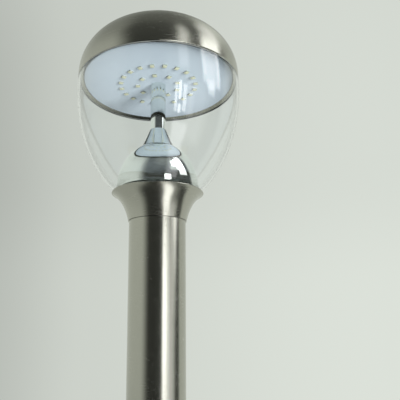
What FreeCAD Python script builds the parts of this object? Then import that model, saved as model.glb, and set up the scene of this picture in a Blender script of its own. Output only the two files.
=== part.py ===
"""Outdoor post light: brushed post and collar, clear globe, chrome stem, domed cap with a light plate.

Millimetres, +Z up. The origin is the centre of the base plate's underside. The light chips' near side and
the photographed front face -Y. Heights that end in _UP are measured from the seam between post and collar.
"""

import FreeCAD, Part
import math
import os

V = FreeCAD.Vector
UP = V(0, 0, 1)

# Base plate and post
BASE_RADIUS = 70.0
BASE_THICKNESS = 5.0
BASE_EDGE_ROUND = 1.5
ANCHOR_COUNT = 3
ANCHOR_INSET = 16.0
ANCHOR_HOLE_RADIUS = 4.5
POST_RADIUS = 30.0
POST_WALL = 2.0
POST_LENGTH = 378.0
WELD_SIZE = 3.5
WELD_CLEARANCE = 0.05

# Cable inlet
CABLE_RADIUS = 5.0
GROMMET_WALL = 3.9
GROMMET_FLANGE = 3.0
GROMMET_FLANGE_THICKNESS = 2.0
GROMMET_SHORT = 0.5
GROMMET_CLEARANCE = 0.1

# Shelf, socket and plug in the post
SHELF_DEPTH = 100.0
SHELF_THICKNESS = 2.0
SHELF_CLEARANCE = 0.1
SHELF_CABLE_HOLE_RADIUS = 6.0
SHELF_CABLE_HOLE_INSET = 9.9
SOCKET_LENGTH = 26.0
SOCKET_WIDTH = 13.0
SOCKET_HEIGHT = 18.0
SOCKET_LUG_THICKNESS = 3.0
SOCKET_WIRE_HOLE_RADIUS = 1.8
SOCKET_WIRE_HOLE_HEIGHT = 4.5
POLE_COUNT = 3
POLE_PITCH = 8.0
PIN_RADIUS = 1.2
PIN_LENGTH = 9.0
PIN_CLEARANCE = 0.3
CLAMP_SCREW_RADIUS = 1.6
CLAMP_SCREW_GAP = 1.0
CLAMP_SCREW_DROP = 6.0
PLUG_HEIGHT = 16.0
PLUG_INSET = 1.0
PLUG_GAP = 0.3
EARTH_SCREW_INSET = 8.9
SMALL_SCREW_RADIUS = 1.45
SMALL_SCREW_HEAD_RADIUS = 2.8
SMALL_SCREW_HEAD_HEIGHT = 2.0
SMALL_SCREW_CLEARANCE = 0.1
SCREW_HEAD_ROOM = 0.3

# Spigot and set screws
SPIGOT_LENGTH = 45.0
SPIGOT_WALL = 2.0
SPIGOT_CLEARANCE = 0.3
SET_SCREW_ANGLES = {"left": 120.0, "right": 60.0}
SET_SCREW_DEPTH = 20.0
SET_SCREW_RADIUS = 2.0
SET_SCREW_LENGTH = 5.0
SET_SCREW_CLEARANCE = 0.05
SET_SCREW_TIP_GAP = 0.15
SET_SCREW_KEY_RADIUS = 1.15
SET_SCREW_KEY_DEPTH = 2.0

# Collar
SEAM_GAP = 0.25
COLLAR_HEIGHT = 29.75
COLLAR_STEP = 0.9
COLLAR_WALL = 1.2
LIP_RADIUS = 48.75
COLLAR_START_ANGLE = 12.0
COLLAR_LIP_ANGLE = 62.5

# Seat of the globe
SEAT_BELOW_LIP = 7.75
SEAT_THICKNESS = 3.0
SEAT_CLEARANCE = 0.1
GASKET_THICKNESS = 2.0
GASKET_OVERLAP = 1.0

# Globe: lower part of an ellipse turned about the axis, set by its waist and by its mouth in the collar
GLOBE_RADIUS = 88.2
GLOBE_MOUTH_GAP = 5.6
GLOBE_WAIST_UP = 141.3
GLOBE_WALL = 2.5
UPPER_GASKET_THICKNESS = 1.0

# Cap shell
RIM_UP = 152.0
CAP_STEP = 0.6
CAP_WALL = 1.0
RIM_WIDTH = 5.4
RIM_HEIGHT = 5.4
RIM_SLOPE = 35.0
FOLD_INSIDE = 0.3
BAND_HEIGHT = 5.5
KNUCKLE_RADIUS = 49.5
CROWN_RADIUS = 123.0

# White plate and light chips
PLATE_GAP = 0.5
PLATE_CHAMFER = 0.6
PLATE_THICKNESS = 1.5
BRIDGE_HEADROOM = 2.1
OUTER_CHIP_COUNT = 20
OUTER_CHIP_CIRCLE = 41.3
INNER_CHIP_COUNT = 9
INNER_CHIP_CIRCLE = 22.5
INNER_CHIP_FIRST_ANGLE = -100.0
CHIP_LENGTH = 5.0
CHIP_WIDTH = 5.0
CHIP_HEIGHT = 1.4
NEAR_ANGLE = -90.0

# Tie rod and what is stacked on it
ROD_RADIUS = 5.0
ROD_LEAD_ROOM = 0.8
ROD_CLEARANCE = 0.4
NUT_CLEARANCE = 0.06
NUT_ACROSS_FLATS = 17.0
NUT_HEIGHT = 5.0
WASHER_WIDTH = 4.6
WASHER_THICKNESS = 1.5
ROD_PROUD = 1.0
SPACER_WALL = 2.6

# Chrome dome, neck and sleeve
DOME_EDGE_ABOVE_MOUTH = 12.5
DOME_GAP = 3.3
DOME_RISE = 49.6
DOME_WALL = 0.8
DOME_ROLL_RADIUS = 4.5
DOME_ROLL_ANGLE = 80.0
NECK_FOOT_RADIUS = 17.4
NECK_LEDGE = 0.6
NECK_HEIGHT = 20.0
NECK_WALL = 1.0
NECK_TOP_THICKNESS = 1.2
NECK_HOLLOW = 0.35
SLEEVE_GAP = 2.0
SLEEVE_WALL = 1.2

# Bridge and plate fixings
BRIDGE_WIDTH = 44.0
BRIDGE_THICKNESS = 2.0
BRIDGE_CLEARANCE = 0.1
STANDOFF_INSET = 2.0
STANDOFF_RADIUS = 3.0
STANDOFF_SKIN = 0.7

# Driver
DRIVER_WASHER_GAP = 6.0
DRIVER_LENGTH = 46.0
DRIVER_WIDTH = 26.0
CASE_ABOVE_LEAD = 4.5
DRIVER_WALL = 1.5
DRIVER_LID_THICKNESS = 1.5
DRIVER_LUG_LENGTH = 8.0
DRIVER_LUG_THICKNESS = 2.5
BOARD_THICKNESS = 1.6
BOARD_POST_HEIGHT = 3.0
BOARD_POST_RADIUS = 2.0
BOARD_CLEARANCE = 0.5
TRANSFORMER_SIZE = 12.0
TRANSFORMER_HEIGHT = 9.0
CAPACITOR_RADIUS = 3.5
CAPACITOR_HEIGHT = 9.0

# Leads inside the head
MAINS_LEAD_RADIUS = 2.2
MAINS_LEAD_BEND = 7.0
LEAD_HOLE_CLEARANCE = 0.1
PLATE_LEAD_RADIUS = 1.2
PLATE_LEAD_BEND = 5.0
PLATE_LEAD_REACH = 5.0
PLATE_LEAD_INSET = 11.5
CONNECTOR_SIZE = 6.0
CONNECTOR_HEIGHT = 3.0

# Post and what is in it
POST_BOTTOM = BASE_THICKNESS
SEAM = POST_BOTTOM + POST_LENGTH
POST_BORE = POST_RADIUS - POST_WALL
ANCHOR_CIRCLE_RADIUS = BASE_RADIUS - ANCHOR_INSET
SHELF_TOP = SEAM - SHELF_DEPTH
SHELF_RADIUS = POST_BORE - SHELF_CLEARANCE
SOCKET_TOP = SHELF_TOP + SOCKET_HEIGHT
PIN_BORE = PIN_RADIUS + PIN_CLEARANCE
LUG_WIDTH = 2 * (SMALL_SCREW_HEAD_RADIUS + SCREW_HEAD_ROOM)
PLUG_BOTTOM = SOCKET_TOP + PLUG_GAP
PLUG_TOP = PLUG_BOTTOM + PLUG_HEIGHT
SPIGOT_RADIUS = POST_BORE - SPIGOT_CLEARANCE

# Collar, seat and the heights of the head
COLLAR_BOTTOM = SEAM + SEAM_GAP
LIP = SEAM + COLLAR_HEIGHT
SEAT_TOP = LIP - SEAT_BELOW_LIP
SEAT_BOTTOM = SEAT_TOP - SEAT_THICKNESS
GLOBE_BOTTOM = SEAT_TOP + GASKET_THICKNESS
GLOBE_WAIST = SEAM + GLOBE_WAIST_UP
RIM = SEAM + RIM_UP
GLOBE_TOP = RIM - UPPER_GASKET_THICKNESS
UPSTAND_TOP = RIM + RIM_HEIGHT
BAND_TOP = RIM + BAND_HEIGHT
BRIDGE_BOTTOM = UPSTAND_TOP
PLATE_FACE = BRIDGE_BOTTOM - BRIDGE_HEADROOM - PLATE_THICKNESS
PLATE_BACK = PLATE_FACE + PLATE_THICKNESS
BRIDGE_TOP = BRIDGE_BOTTOM + BRIDGE_THICKNESS

# Tie rod and what is stacked on it
ROD_HOLE = ROD_RADIUS + ROD_CLEARANCE
WASHER_RADIUS = ROD_HOLE + WASHER_WIDTH
SPACER_RADIUS = ROD_HOLE + SPACER_WALL
SLEEVE_RADIUS = ROD_RADIUS + SLEEVE_GAP + SLEEVE_WALL
UPPER_NUT_BOTTOM = BRIDGE_TOP + WASHER_THICKNESS
ROD_TOP = UPPER_NUT_BOTTOM + NUT_HEIGHT + ROD_PROUD
LOWER_NUT_TOP = SEAT_BOTTOM - WASHER_THICKNESS
ROD_BOTTOM = LOWER_NUT_TOP - NUT_HEIGHT - ROD_PROUD
LEAD_EXIT = ROD_TOP + ROD_PROUD + MAINS_LEAD_BEND


def tangent_pole(start, start_angle, end, end_angle):
    """Where the tangents at two places meet; angles lean outward from vertical."""
    lean_a = math.tan(math.radians(start_angle))
    lean_b = math.tan(math.radians(end_angle))
    height = (end[0] - start[0] + lean_a * start[1] - lean_b * end[1]) / (lean_a - lean_b)
    return (start[0] + lean_a * (height - start[1]), height)


def collar_poles(inset):
    """The three poles of the collar's outside, or of the face that lies inset from it."""
    lip_lean = math.radians(COLLAR_LIP_ANGLE)
    start_lean = math.radians(COLLAR_START_ANGLE)
    start = (POST_RADIUS + COLLAR_STEP - inset / math.cos(start_lean), COLLAR_BOTTOM)
    lip = (LIP_RADIUS - inset * math.cos(lip_lean), LIP + inset * math.sin(lip_lean))
    return start, tangent_pole(start, COLLAR_START_ANGLE, lip, COLLAR_LIP_ANGLE), lip


def collar_bore(height):
    """Radius of the collar's inside at a height."""
    start, middle, lip = collar_poles(COLLAR_WALL)
    rise = 2 * (middle[1] - start[1])
    curve = start[1] - 2 * middle[1] + lip[1]
    up = height - start[1]
    t = 2 * up / (rise + math.sqrt(rise * rise + 4 * curve * up))
    return (1 - t) ** 2 * start[0] + 2 * t * (1 - t) * middle[0] + t * t * lip[0]


def ellipse_radius(half_width, half_height, centre, height):
    """Radius of an upright ellipse at a height."""
    share = (height - centre) / half_height
    return half_width * math.sqrt(1 - share * share)


def ellipse_height(half_width, half_height, centre, radius):
    """Height of the upper side of an upright ellipse at a radius."""
    share = radius / half_width
    return centre + half_height * math.sqrt(1 - share * share)


def globe_radius(height, inset=0.0):
    """Radius of the globe's outside, or of the face that lies inset from it."""
    return ellipse_radius(GLOBE_RADIUS - inset, GLOBE_DEPTH - inset, GLOBE_WAIST, height)


# Globe, cap and chrome
GLOBE_MOUTH = collar_bore(GLOBE_BOTTOM) - GLOBE_MOUTH_GAP
GLOBE_DEPTH = (GLOBE_WAIST - GLOBE_BOTTOM) / math.sqrt(1 - (GLOBE_MOUTH / GLOBE_RADIUS) ** 2)
CAP_RADIUS = globe_radius(GLOBE_TOP) - CAP_STEP
FOLD_RADIUS = FOLD_INSIDE + CAP_WALL
FOLD_CENTRE = (CAP_RADIUS - FOLD_RADIUS, RIM + FOLD_RADIUS)
FOLD_END_ANGLE = -90 - RIM_SLOPE
UPSTAND_RADIUS = CAP_RADIUS - RIM_WIDTH
PLATE_RADIUS = UPSTAND_RADIUS - PLATE_GAP
DOME_EDGE = GLOBE_BOTTOM + DOME_EDGE_ABOVE_MOUTH
DOME_RADIUS = globe_radius(DOME_EDGE, GLOBE_WALL) - DOME_GAP
DOME_FLAT = NECK_FOOT_RADIUS + NECK_LEDGE
DOME_CROWN = ellipse_height(DOME_RADIUS, DOME_RISE, DOME_EDGE, DOME_FLAT)
NECK_TOP = DOME_CROWN + NECK_HEIGHT

# Bridge and driver
STANDOFF_Y = BRIDGE_WIDTH / 2 - STANDOFF_RADIUS - STANDOFF_INSET
STANDOFF_PLACES = [(0, -STANDOFF_Y), (0, STANDOFF_Y)]
DRIVER_START_X = WASHER_RADIUS + DRIVER_WASHER_GAP
DRIVER_MIDDLE = DRIVER_START_X + DRIVER_LENGTH / 2
DRIVER_TOP = LEAD_EXIT + CASE_ABOVE_LEAD
DRIVER_SCREW_Y = (DRIVER_WIDTH + LUG_WIDTH) / 2
DRIVER_SCREW_PLACES = [(DRIVER_MIDDLE, -DRIVER_SCREW_Y), (DRIVER_MIDDLE, DRIVER_SCREW_Y)]
BOARD_BOTTOM = BRIDGE_TOP + DRIVER_WALL + BOARD_POST_HEIGHT
BOARD_TOP = BOARD_BOTTOM + BOARD_THICKNESS
BOARD_LENGTH = DRIVER_LENGTH - 2 * (DRIVER_WALL + BOARD_CLEARANCE)
BOARD_WIDTH = DRIVER_WIDTH - 2 * (DRIVER_WALL + BOARD_CLEARANCE)
PLATE_LEAD_X = DRIVER_START_X + DRIVER_LENGTH - PLATE_LEAD_INSET
PLATE_LEAD_Y = BRIDGE_WIDTH / 2 + PLATE_LEAD_REACH
PLATE_LEAD_EXIT = BOARD_TOP + PLATE_LEAD_RADIUS


# Outlines lie in the XZ plane as (radius, height) and are turned about Z
def point(place):
    return V(place[0], 0, place[1])


def line(start, end):
    return Part.LineSegment(point(start), point(end)).toShape()


def lines(*places):
    return [line(a, b) for a, b in zip(places, places[1:])]


def on_circle(centre, radius, degrees):
    angle = math.radians(degrees)
    return (centre[0] + radius * math.cos(angle), centre[1] + radius * math.sin(angle))


def arc(centre, radius, start, end):
    places = [on_circle(centre, radius, a) for a in (start, (start + end) / 2, end)]
    return Part.Arc(*[point(p) for p in places]).toShape()


def ellipse_arc(half_width, half_height, centre, low, high):
    """Edge of an upright ellipse, on the +X side, between two heights."""
    side = V(half_width, 0, centre)
    top = V(0, 0, centre + half_height)
    middle = V(0, 0, centre)
    shares = [(low - centre) / half_height, (high - centre) / half_height]
    if half_height >= half_width:
        ends = sorted(math.acos(s) for s in shares)
        return Part.Ellipse(top, side, middle).toShape(*ends)
    # With the long axis along X the curve's parameter runs from X towards Z
    ends = sorted(math.asin(s) for s in shares)
    return Part.Ellipse(side, top, middle).toShape(*ends)


def bend(start, middle, end):
    curve = Part.BezierCurve()
    curve.setPoles([point(start), point(middle), point(end)])
    return curve.toShape()


def turned(edges):
    """Solid of revolution from the edges of a closed outline."""
    outline = Part.Wire(Part.__sortEdges__(edges))
    return Part.Face(outline).revolve(V(0, 0, 0), UP, 360)


def ring(inner, outer, low, high):
    return turned(lines((inner, low), (outer, low), (outer, high), (inner, high), (inner, low)))


def rod(radius, low, high, x=0.0, y=0.0):
    return Part.makeCylinder(radius, high - low, V(x, y, low), UP)


def block(length, width, low, high, x=0.0, y=0.0):
    """Box centred on x and y between two heights."""
    return Part.makeBox(length, width, high - low, V(x - length / 2, y - width / 2, low))


def hexagon(across_flats, low, high):
    corner = across_flats / 2 / math.cos(math.radians(30))
    corners = [V(*on_circle((0, 0), corner, 60 * k), low) for k in range(7)]
    return Part.Face(Part.makePolygon(corners)).extrude(V(0, 0, high - low))


def fused(first, *others):
    return first.multiFuse(list(others)).removeSplitter()


def spin(shape, degrees):
    return shape.copy().rotate(V(0, 0, 0), UP, degrees)


def around(shape, count, first_angle):
    """Copies of a shape that was made on +X, evenly spaced about the axis."""
    return [spin(shape, first_angle + k * 360 / count) for k in range(count)]


def small_screw(x, y, seat, length):
    """Round-headed screw that points down from its seat."""
    head = rod(SMALL_SCREW_HEAD_RADIUS, seat, seat + SMALL_SCREW_HEAD_HEIGHT, x, y)
    top = [e for e in head.Edges if e.Closed and e.BoundBox.ZMin > seat + SMALL_SCREW_HEAD_HEIGHT / 2]
    head = head.makeFillet(SMALL_SCREW_HEAD_HEIGHT / 2, top)
    return fused(head, rod(SMALL_SCREW_RADIUS, seat - length, seat, x, y))


def small_screw_hole(x, y, low, high):
    return rod(SMALL_SCREW_RADIUS + SMALL_SCREW_CLEARANCE, low, high, x, y)


# Base and post
def base_plate():
    top_edge = arc((BASE_RADIUS - BASE_EDGE_ROUND, BASE_THICKNESS - BASE_EDGE_ROUND), BASE_EDGE_ROUND, 0, 90)
    hole = CABLE_RADIUS + GROMMET_WALL + GROMMET_CLEARANCE
    outline = lines((BASE_RADIUS - BASE_EDGE_ROUND, BASE_THICKNESS), (hole, BASE_THICKNESS), (hole, 0),
                    (BASE_RADIUS, 0), (BASE_RADIUS, BASE_THICKNESS - BASE_EDGE_ROUND))
    disc = turned([top_edge] + outline)
    anchor = rod(ANCHOR_HOLE_RADIUS, -1, BASE_THICKNESS + 1, ANCHOR_CIRCLE_RADIUS)
    return disc.cut(Part.makeCompound(around(anchor, ANCHOR_COUNT, -NEAR_ANGLE)))


def cable_grommet():
    body = CABLE_RADIUS + GROMMET_WALL
    flange = body + GROMMET_FLANGE
    top = BASE_THICKNESS + GROMMET_FLANGE_THICKNESS
    return turned(lines((CABLE_RADIUS, GROMMET_SHORT), (body, GROMMET_SHORT), (body, BASE_THICKNESS),
                        (flange, BASE_THICKNESS), (flange, top), (CABLE_RADIUS, top),
                        (CABLE_RADIUS, GROMMET_SHORT)))


def post_weld():
    inner = POST_RADIUS + WELD_CLEARANCE
    outer = inner + WELD_SIZE
    top = POST_BOTTOM + WELD_SIZE
    hollow = arc((outer, top), WELD_SIZE, 180, 270)
    return turned([hollow] + lines((outer, POST_BOTTOM), (inner, POST_BOTTOM), (inner, top)))


def radial(radius, start, end, degrees, height):
    """Round bar that points out from the axis."""
    bar = Part.makeCylinder(radius, end - start, V(start, 0, height), V(1, 0, 0))
    return spin(bar, degrees)


def post_tube():
    tube = ring(POST_BORE, POST_RADIUS, POST_BOTTOM, SEAM)
    hole = SET_SCREW_RADIUS + SET_SCREW_CLEARANCE
    for angle in SET_SCREW_ANGLES.values():
        tube = tube.cut(radial(hole, POST_BORE / 2, POST_RADIUS + POST_WALL, angle, SEAM - SET_SCREW_DEPTH))
    return tube


def set_screw(angle):
    tip = SPIGOT_RADIUS + SET_SCREW_TIP_GAP
    end = tip + SET_SCREW_LENGTH
    height = SEAM - SET_SCREW_DEPTH
    screw = radial(SET_SCREW_RADIUS, tip, end, angle, height)
    corners = [on_circle((0, height), SET_SCREW_KEY_RADIUS, 60 * k) for k in range(7)]
    key = Part.Face(Part.makePolygon([V(end - SET_SCREW_KEY_DEPTH, y, z) for y, z in corners]))
    return screw.cut(spin(key.extrude(V(SET_SCREW_KEY_DEPTH, 0, 0)), angle))


# Shelf, socket and plug
def pole_places():
    return [(k - (POLE_COUNT - 1) / 2) * POLE_PITCH for k in range(POLE_COUNT)]


def socket_screw_places():
    reach = (SOCKET_LENGTH + LUG_WIDTH) / 2
    return [-reach, reach]


def terminal_shelf():
    shelf = rod(SHELF_RADIUS, SHELF_TOP - SHELF_THICKNESS, SHELF_TOP)
    below = SHELF_TOP - SHELF_THICKNESS - 1
    cable_y = SHELF_CABLE_HOLE_INSET - SHELF_RADIUS
    holes = [rod(SHELF_CABLE_HOLE_RADIUS, below, SHELF_TOP + 1, 0, cable_y)]
    holes += [small_screw_hole(x, 0, below, SHELF_TOP + 1) for x in socket_screw_places()]
    holes.append(small_screw_hole(0, SHELF_RADIUS - EARTH_SCREW_INSET, below, SHELF_TOP + 1))
    return shelf.cut(Part.makeCompound(holes))


def supply_socket():
    body = block(SOCKET_LENGTH, SOCKET_WIDTH, SHELF_TOP, SOCKET_TOP)
    lugs = block(SOCKET_LENGTH + 2 * LUG_WIDTH, LUG_WIDTH,
                 SHELF_TOP, SHELF_TOP + SOCKET_LUG_THICKNESS)
    socket = fused(body, lugs)
    cuts = [small_screw_hole(x, 0, SHELF_TOP - 1, SOCKET_TOP) for x in socket_screw_places()]
    for x in pole_places():
        cuts.append(rod(PIN_BORE, SOCKET_TOP - PIN_LENGTH, SOCKET_TOP + 1, x))
        wire = V(x, -SOCKET_WIDTH, SHELF_TOP + SOCKET_WIRE_HOLE_HEIGHT)
        cuts.append(Part.makeCylinder(SOCKET_WIRE_HOLE_RADIUS, SOCKET_WIDTH, wire, V(0, 1, 0)))
        cuts.append(clamp_screw(x, CLAMP_SCREW_RADIUS + SMALL_SCREW_CLEARANCE))
    return socket.cut(Part.makeCompound(cuts))


def clamp_screw(x, radius):
    length = SOCKET_WIDTH / 2 - PIN_BORE - CLAMP_SCREW_GAP
    start = V(x, -SOCKET_WIDTH / 2, SOCKET_TOP - CLAMP_SCREW_DROP)
    return Part.makeCylinder(radius, length, start, V(0, 1, 0))


def lead_plug():
    body = block(SOCKET_LENGTH - 2 * PLUG_INSET, SOCKET_WIDTH - 2 * PLUG_INSET, PLUG_BOTTOM, PLUG_TOP)
    pins = [rod(PIN_RADIUS, PLUG_BOTTOM - PIN_LENGTH + PLUG_GAP + PIN_CLEARANCE, PLUG_BOTTOM, x)
            for x in pole_places()]
    return fused(body, *pins)


# Collar and seat
def collar():
    outside = collar_poles(0)
    inside = collar_poles(COLLAR_WALL)
    return turned([bend(*outside), bend(*inside), line(outside[0], inside[0]), line(outside[2], inside[2])])


def seat_plate():
    return ring(ROD_HOLE, collar_bore(SEAT_BOTTOM) - SEAT_CLEARANCE, SEAT_BOTTOM, SEAT_TOP)


def lower_gasket():
    inner = globe_radius(GLOBE_BOTTOM, GLOBE_WALL) - GASKET_OVERLAP
    outer = globe_radius(GLOBE_BOTTOM) + GASKET_OVERLAP
    return ring(inner, outer, SEAT_TOP, GLOBE_BOTTOM)


# Globe and cap
def globe():
    outside = ellipse_arc(GLOBE_RADIUS, GLOBE_DEPTH, GLOBE_WAIST, GLOBE_BOTTOM, GLOBE_TOP)
    inside = ellipse_arc(GLOBE_RADIUS - GLOBE_WALL, GLOBE_DEPTH - GLOBE_WALL, GLOBE_WAIST,
                         GLOBE_BOTTOM, GLOBE_TOP)
    ends = [line((globe_radius(z, GLOBE_WALL), z), (globe_radius(z), z)) for z in (GLOBE_BOTTOM, GLOBE_TOP)]
    return turned([outside, inside] + ends)


def upper_gasket():
    """Flat seal on the globe's edge, which the cap's fold presses on."""
    return ring(globe_radius(GLOBE_TOP, GLOBE_WALL), CAP_RADIUS, GLOBE_TOP, RIM)


def dome_lines(inset):
    """Knuckle and crown arcs of the cap, with the places where they start and end."""
    knuckle_centre = (CAP_RADIUS - KNUCKLE_RADIUS, BAND_TOP)
    drop = math.sqrt((CROWN_RADIUS - KNUCKLE_RADIUS) ** 2 - knuckle_centre[0] ** 2)
    turn = math.degrees(math.atan2(drop, knuckle_centre[0]))
    crown_centre = (0, BAND_TOP - drop)
    knuckle = arc(knuckle_centre, KNUCKLE_RADIUS - inset, 0, turn)
    crown = arc(crown_centre, CROWN_RADIUS - inset, turn, 90)
    return knuckle, crown, (0, crown_centre[1] + CROWN_RADIUS - inset)


def cap_bore(height):
    """Radius of the cap's inside at a height in its band or knuckle."""
    above = max(height - BAND_TOP, 0)
    return CAP_RADIUS - KNUCKLE_RADIUS + math.sqrt((KNUCKLE_RADIUS - CAP_WALL) ** 2 - above ** 2)


def sloped(start, radius):
    """Height that the rim's slope reaches at a radius, from where it starts."""
    return start[1] + (start[0] - radius) * math.tan(math.radians(RIM_SLOPE))


def cap_shell():
    """Thin dome whose edge is folded inward along a slope and then straight up."""
    knuckle_out, crown_out, top_out = dome_lines(0)
    knuckle_in, crown_in, top_in = dome_lines(CAP_WALL)
    bore = CAP_RADIUS - CAP_WALL
    below, above = (on_circle(FOLD_CENTRE, r, FOLD_END_ANGLE) for r in (FOLD_RADIUS, FOLD_INSIDE))
    behind = UPSTAND_RADIUS + CAP_WALL
    rim = [
        line((CAP_RADIUS, BAND_TOP), (CAP_RADIUS, FOLD_CENTRE[1])),
        arc(FOLD_CENTRE, FOLD_RADIUS, FOLD_END_ANGLE, 0),
        arc(FOLD_CENTRE, FOLD_INSIDE, FOLD_END_ANGLE, 0),
        line((bore, FOLD_CENTRE[1]), (bore, BAND_TOP)),
    ]
    rim += lines(below, (UPSTAND_RADIUS, sloped(below, UPSTAND_RADIUS)), (UPSTAND_RADIUS, UPSTAND_TOP),
                 (behind, UPSTAND_TOP), (behind, sloped(above, behind)), above)
    return turned([knuckle_out, crown_out, line(top_out, top_in), crown_in, knuckle_in] + rim)


# White plate and light chips
def led_plate():
    return turned(lines((ROD_HOLE, PLATE_FACE), (PLATE_RADIUS - PLATE_CHAMFER, PLATE_FACE),
                        (PLATE_RADIUS, PLATE_FACE + PLATE_CHAMFER), (PLATE_RADIUS, PLATE_BACK),
                        (ROD_HOLE, PLATE_BACK), (ROD_HOLE, PLATE_FACE)))


def chips(count, circle, first_angle):
    chip = block(CHIP_WIDTH, CHIP_LENGTH, PLATE_FACE - CHIP_HEIGHT, PLATE_FACE, circle)
    return Part.makeCompound(around(chip, count, first_angle))


# Tie rod and what is stacked on it
def tie_rod():
    return ring(MAINS_LEAD_RADIUS + ROD_LEAD_ROOM, ROD_RADIUS, ROD_BOTTOM, ROD_TOP)


def nut(low):
    return hexagon(NUT_ACROSS_FLATS, low, low + NUT_HEIGHT).cut(
        rod(ROD_RADIUS + NUT_CLEARANCE, low - 1, low + NUT_HEIGHT + 1))


def washer(low):
    return ring(ROD_HOLE, WASHER_RADIUS, low, low + WASHER_THICKNESS)


def reflector_dome():
    """Thin dome with a flat crown and a rolled-in edge."""
    hole = ROD_HOLE
    edge = (DOME_RADIUS - DOME_ROLL_RADIUS, DOME_EDGE)
    inner_radius = DOME_RADIUS - DOME_WALL
    inner_rise = DOME_RISE - DOME_WALL
    under = DOME_CROWN - DOME_WALL
    flat_under = inner_radius * math.sqrt(1 - ((under - DOME_EDGE) / inner_rise) ** 2)
    tips = [on_circle(edge, r, -DOME_ROLL_ANGLE) for r in (DOME_ROLL_RADIUS, DOME_ROLL_RADIUS - DOME_WALL)]
    return turned([
        ellipse_arc(DOME_RADIUS, DOME_RISE, DOME_EDGE, DOME_EDGE, DOME_CROWN),
        line((DOME_FLAT, DOME_CROWN), (hole, DOME_CROWN)),
        line((hole, DOME_CROWN), (hole, under)),
        line((hole, under), (flat_under, under)),
        ellipse_arc(inner_radius, inner_rise, DOME_EDGE, DOME_EDGE, under),
        arc(edge, DOME_ROLL_RADIUS - DOME_WALL, -DOME_ROLL_ANGLE, 0),
        line(*tips),
        arc(edge, DOME_ROLL_RADIUS, -DOME_ROLL_ANGLE, 0),
    ])


def neck_bend(inset, top):
    """Side of the chrome cone, drawn in a little at its middle."""
    foot = (NECK_FOOT_RADIUS - inset, DOME_CROWN)
    head = (SLEEVE_RADIUS + NECK_HOLLOW - inset, top)
    middle = ((foot[0] + head[0]) / 2 - 2 * NECK_HOLLOW, (foot[1] + head[1]) / 2)
    return foot, head, bend(foot, middle, head)


def reflector_neck():
    foot, head, side = neck_bend(0, NECK_TOP)
    under = NECK_TOP - NECK_TOP_THICKNESS
    inner_foot, inner_head, inner_side = neck_bend(NECK_WALL, under)
    return turned([side, inner_side, line(foot, inner_foot)]
                  + lines(head, (ROD_HOLE, NECK_TOP), (ROD_HOLE, under), inner_head))


# Bridge and plate fixings
def cap_bridge():
    strap = block(2 * CAP_RADIUS, BRIDGE_WIDTH, BRIDGE_BOTTOM, BRIDGE_TOP)
    strap = strap.common(rod(cap_bore(BRIDGE_TOP) - BRIDGE_CLEARANCE, BRIDGE_BOTTOM, BRIDGE_TOP))
    holes = [rod(ROD_HOLE, BRIDGE_BOTTOM - 1, BRIDGE_TOP + 1)]
    holes += [small_screw_hole(x, y, BRIDGE_BOTTOM - 1, BRIDGE_TOP + 1)
              for x, y in STANDOFF_PLACES + DRIVER_SCREW_PLACES]
    return strap.cut(Part.makeCompound(holes))


def plate_standoffs():
    posts = []
    for x, y in STANDOFF_PLACES:
        post = rod(STANDOFF_RADIUS, PLATE_BACK, BRIDGE_BOTTOM, x, y)
        posts.append(post.cut(small_screw_hole(x, y, PLATE_BACK + STANDOFF_SKIN, BRIDGE_BOTTOM)))
    return Part.makeCompound(posts)


def plate_screws():
    length = BRIDGE_TOP - PLATE_BACK - STANDOFF_SKIN - SMALL_SCREW_CLEARANCE
    return Part.makeCompound([small_screw(x, y, BRIDGE_TOP, length) for x, y in STANDOFF_PLACES])


# Driver
def driver_case():
    case = block(DRIVER_LENGTH, DRIVER_WIDTH, BRIDGE_TOP, DRIVER_TOP, DRIVER_MIDDLE)
    hollow = block(DRIVER_LENGTH - 2 * DRIVER_WALL, DRIVER_WIDTH - 2 * DRIVER_WALL,
                   BRIDGE_TOP + DRIVER_WALL, DRIVER_TOP + 1, DRIVER_MIDDLE)
    lugs = block(DRIVER_LUG_LENGTH, DRIVER_WIDTH + 2 * LUG_WIDTH,
                 BRIDGE_TOP, BRIDGE_TOP + DRIVER_LUG_THICKNESS, DRIVER_MIDDLE)
    case = fused(case, lugs).cut(hollow)
    inset = BOARD_POST_RADIUS + BOARD_CLEARANCE
    corners = [(sx * (BOARD_LENGTH / 2 - inset) + DRIVER_MIDDLE, sy * (BOARD_WIDTH / 2 - inset))
               for sx in (-1, 1) for sy in (-1, 1)]
    case = fused(case, *[rod(BOARD_POST_RADIUS, BRIDGE_TOP, BOARD_BOTTOM, x, y) for x, y in corners])
    mains_hole = Part.makeCylinder(MAINS_LEAD_RADIUS + LEAD_HOLE_CLEARANCE, 2 * DRIVER_WALL,
                                   V(DRIVER_START_X - DRIVER_WALL / 2, 0, LEAD_EXIT), V(1, 0, 0))
    plate_hole = Part.makeCylinder(PLATE_LEAD_RADIUS + LEAD_HOLE_CLEARANCE, 2 * DRIVER_WALL,
                                   V(PLATE_LEAD_X, DRIVER_WIDTH / 2 - 3 * DRIVER_WALL / 2, PLATE_LEAD_EXIT),
                                   V(0, 1, 0))
    screw_holes = [small_screw_hole(x, y, BRIDGE_TOP - 1, DRIVER_TOP) for x, y in DRIVER_SCREW_PLACES]
    return case.cut(Part.makeCompound([mains_hole, plate_hole] + screw_holes))


def driver_lid():
    lid = block(DRIVER_LENGTH, DRIVER_WIDTH, DRIVER_TOP, DRIVER_TOP + DRIVER_LID_THICKNESS, DRIVER_MIDDLE)
    lip = block(BOARD_LENGTH, BOARD_WIDTH, DRIVER_TOP - DRIVER_LID_THICKNESS, DRIVER_TOP, DRIVER_MIDDLE)
    return fused(lid, lip)


def driver_board():
    return block(BOARD_LENGTH, BOARD_WIDTH, BOARD_BOTTOM, BOARD_TOP, DRIVER_MIDDLE)


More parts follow.
